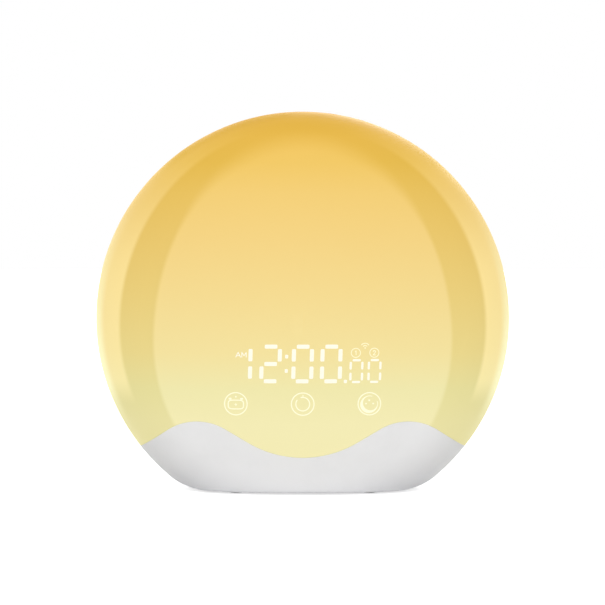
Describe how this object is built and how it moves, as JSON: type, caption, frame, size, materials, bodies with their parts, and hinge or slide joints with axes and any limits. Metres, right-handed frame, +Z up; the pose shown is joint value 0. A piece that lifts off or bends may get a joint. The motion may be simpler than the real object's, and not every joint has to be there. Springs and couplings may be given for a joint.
{
  "type": "sunrise alarm clock",
  "caption": "Round lens-shaped sunrise alarm clock with a milky lit front, a white wave-edged base, rear keys, a speaker grille and a USB-C power socket.",
  "frame": {"origin": "on the table under the middle of the clock, at the feet's soles", "axes": "+X to the right of someone facing the clock, +Y from the front to the rear, +Z up"},
  "size_m": [0.19, 0.086, 0.1739],
  "materials": {
    "basket_steel": "black zinc",
    "capacitor_can": "bare",
    "cell_steel": "nickel plated",
    "chip_black": "moulded",
    "chip_tan": "fired",
    "coil_copper": "enamelled wire",
    "cone_paper": "pressed paper",
    "connector_ivory": "moulded",
    "contact_steel": "spring steel",
    "display_film": "printed film",
    "display_white": "matte",
    "flat_cable": "film",
    "foot_rubber": "matte",
    "gasket_foam": "foam",
    "green_board": "solder mask",
    "key_plastic": "satin",
    "led_package": "phosphor",
    "magnet_ferrite": "ground",
    "milky_diffuser": "satin, translucent",
    "module_can": "tin plated",
    "screw_steel": "zinc plated",
    "socket_black": "moulded",
    "socket_steel": "nickel plated",
    "surround_rubber": "matte",
    "switch_black": "moulded",
    "switch_plunger": "moulded",
    "touch_foam": "conductive foam",
    "white_board": "solder mask",
    "white_cover": "fine satin",
    "white_grille": "fine satin",
    "white_reflector": "matte",
    "white_shell": "fine satin"
  },
  "bodies": {
    "case": {"base_cover": "white_shell", "board_chips": "chip_black", "board_passives": "chip_tan", "board_screws": "screw_steel", "cable_connectors": "connector_ivory", "capacitors": "capacitor_can", "cell_clip": "contact_steel", "cell_contact": "contact_steel", "coin_cell": "cell_steel", "display_board": "green_board", "display_cable": "flat_cable", "display_carrier": "display_white", "display_film": "display_film", "display_leds": "led_package", "display_reflector": "display_white", "display_screws": "screw_steel", "foot_front_left": "foot_rubber", "foot_front_right": "foot_rubber", "foot_rear_left": "foot_rubber", "foot_rear_right": "foot_rubber", "front_diffuser": "milky_diffuser", "housing_screws": "screw_steel", "key_board": "green_board", "led_board": "white_board", "led_board_screws": "screw_steel", "led_chips": "led_package", "light_chamber": "white_reflector", "main_board": "green_board", "radio_module": "module_can", "rear_housing": "white_shell", "socket_shell": "socket_steel", "socket_tongue": "socket_black", "speaker_basket": "basket_steel", "speaker_gasket": "gasket_foam", "speaker_grille": "white_grille", "speaker_magnet": "magnet_ferrite", "speaker_screws": "screw_steel", "speaker_surround": "surround_rubber", "speaker_top_plate": "basket_steel", "speaker_yoke": "basket_steel", "switch_bodies": "switch_black", "touch_ring_left": "touch_foam", "touch_ring_middle": "touch_foam", "touch_ring_right": "touch_foam"},
    "key_menu": {"key_menu": "key_plastic", "plunger_menu": "switch_plunger"},
    "key_down": {"key_down": "key_plastic", "plunger_down": "switch_plunger"},
    "key_up": {"key_up": "key_plastic", "plunger_up": "switch_plunger"},
    "key_alarm": {"key_alarm": "key_plastic", "plunger_alarm": "switch_plunger"},
    "key_sound": {"key_sound": "key_plastic", "plunger_sound": "switch_plunger"},
    "battery_cover": {"battery_cover": "white_cover"},
    "speaker_cone": {"speaker_cone": "cone_paper", "voice_coil": "coil_copper", "dust_cap": "cone_paper"}
  },
  "joints": [
    {"name": "key_menu_press", "type": "slide", "parent": "case", "child": "key_menu", "axis": [0, -1, 0], "range_m": [0, 0.0005], "stiffness_N_per_m": 3000},
    {"name": "key_down_press", "type": "slide", "parent": "case", "child": "key_down", "axis": [0, -1, 0], "range_m": [0, 0.0005], "stiffness_N_per_m": 3000},
    {"name": "key_up_press", "type": "slide", "parent": "case", "child": "key_up", "axis": [0, -1, 0], "range_m": [0, 0.0005], "stiffness_N_per_m": 3000},
    {"name": "key_alarm_press", "type": "slide", "parent": "case", "child": "key_alarm", "axis": [0, -1, 0], "range_m": [0, 0.0005], "stiffness_N_per_m": 3000},
    {"name": "key_sound_press", "type": "slide", "parent": "case", "child": "key_sound", "axis": [0, -1, 0], "range_m": [0, 0.0005], "stiffness_N_per_m": 3000},
    {"name": "battery_cover_turn", "type": "hinge", "parent": "case", "child": "battery_cover", "pos_m": [0, -0.0115, 0.001], "axis": [0, 0, -1], "range_deg": [0, 45]},
    {"name": "speaker_cone_travel", "type": "slide", "parent": "case", "child": "speaker_cone", "axis": [0, 1, 0], "range_m": [-0.0006, 0.0006], "stiffness_N_per_m": 1500, "deforming": ["speaker_surround"]}
  ]
}
